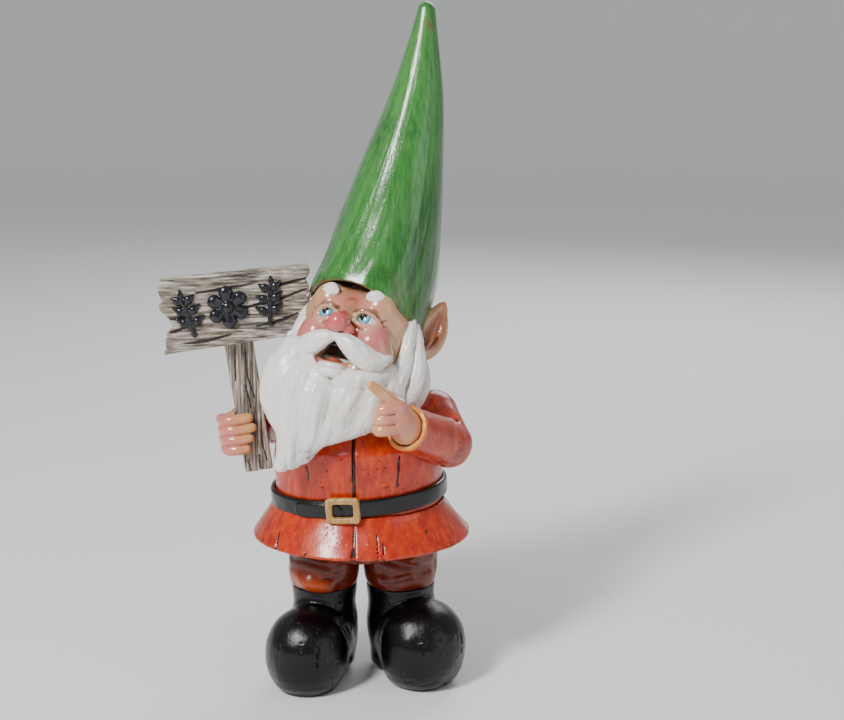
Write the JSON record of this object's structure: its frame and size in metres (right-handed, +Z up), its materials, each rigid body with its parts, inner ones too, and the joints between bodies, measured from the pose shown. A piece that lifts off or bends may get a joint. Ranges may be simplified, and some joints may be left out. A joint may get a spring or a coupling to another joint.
{
  "type": "garden gnome",
  "caption": "Painted cast-resin garden gnome with a tall pointed hat that looks up, one hand raised and the other fist round the post of a lift-out plank sign.",
  "frame": {"origin": "on the ground, under the middle of the whole figure's box, sign and raised elbow included", "axes": "+Z up, the gnome faces -Y, and its own left is +X"},
  "size_m": [0.1852, 0.1292, 0.4067],
  "materials": {
    "green_paint": "glossy brushed paint",
    "red_paint": "glossy paint with a dark wash in its pits",
    "cuff_paint": "glossy paint, pale inside",
    "brown_paint": "glossy paint",
    "boot_paint": "glossy black paint, chipped in places",
    "belt_paint": "glossy black paint",
    "gold_paint": "tan paint with a brown wash",
    "skin_paint": "glossy flesh paint with pink blush",
    "white_paint": "glossy white paint with a grey wash",
    "weathered_wood": "resin painted as weathered grey wood, dry-brushed",
    "motif_paint": "glossy blue-black paint",
    "ballast": "cast cement",
    "plug": "matt",
    "peg_resin": "bare resin",
    "steel": "bare steel"
  },
  "bodies": {
    "figure": {"armature_plate": "steel", "beard": "white_paint", "belt": "belt_paint", "belt_buckle": "gold_paint", "coat_back": "red_paint", "coat_front": "red_paint", "coat_skirt": "red_paint", "face": "skin_paint", "hair": "white_paint", "hat": "green_paint", "left_arm_peg": "peg_resin", "left_ballast": "ballast", "left_boot": "boot_paint", "left_boot_sole": "boot_paint", "left_cuff": "cuff_paint", "left_ear": "skin_paint", "left_eyebrow": "white_paint", "left_filler_plug": "plug", "left_hand": "skin_paint", "left_leg_rod": "steel", "left_sleeve": "red_paint", "left_trouser_leg": "brown_paint", "left_wrist_peg": "peg_resin", "moustache": "white_paint", "right_arm_peg": "peg_resin", "right_ballast": "ballast", "right_boot": "boot_paint", "right_boot_sole": "boot_paint", "right_cuff": "cuff_paint", "right_ear": "skin_paint", "right_eyebrow": "white_paint", "right_filler_plug": "plug", "right_hand": "skin_paint", "right_leg_rod": "steel", "right_sleeve": "red_paint", "right_trouser_leg": "brown_paint", "right_wrist_peg": "peg_resin", "skull": "skin_paint", "spine_rod": "steel"},
    "sign": {"board_screws": "steel", "post_stop_pin": "steel", "sign_board": "weathered_wood", "sign_flower": "motif_paint", "sign_left_sprig": "motif_paint", "sign_post": "weathered_wood", "sign_right_sprig": "motif_paint"}
  },
  "joints": [
    {"name": "sign_lift", "type": "slide", "parent": "figure", "child": "sign", "axis": [-0.1323, 0, 0.9912], "range_m": [0, 0.036]}
  ]
}
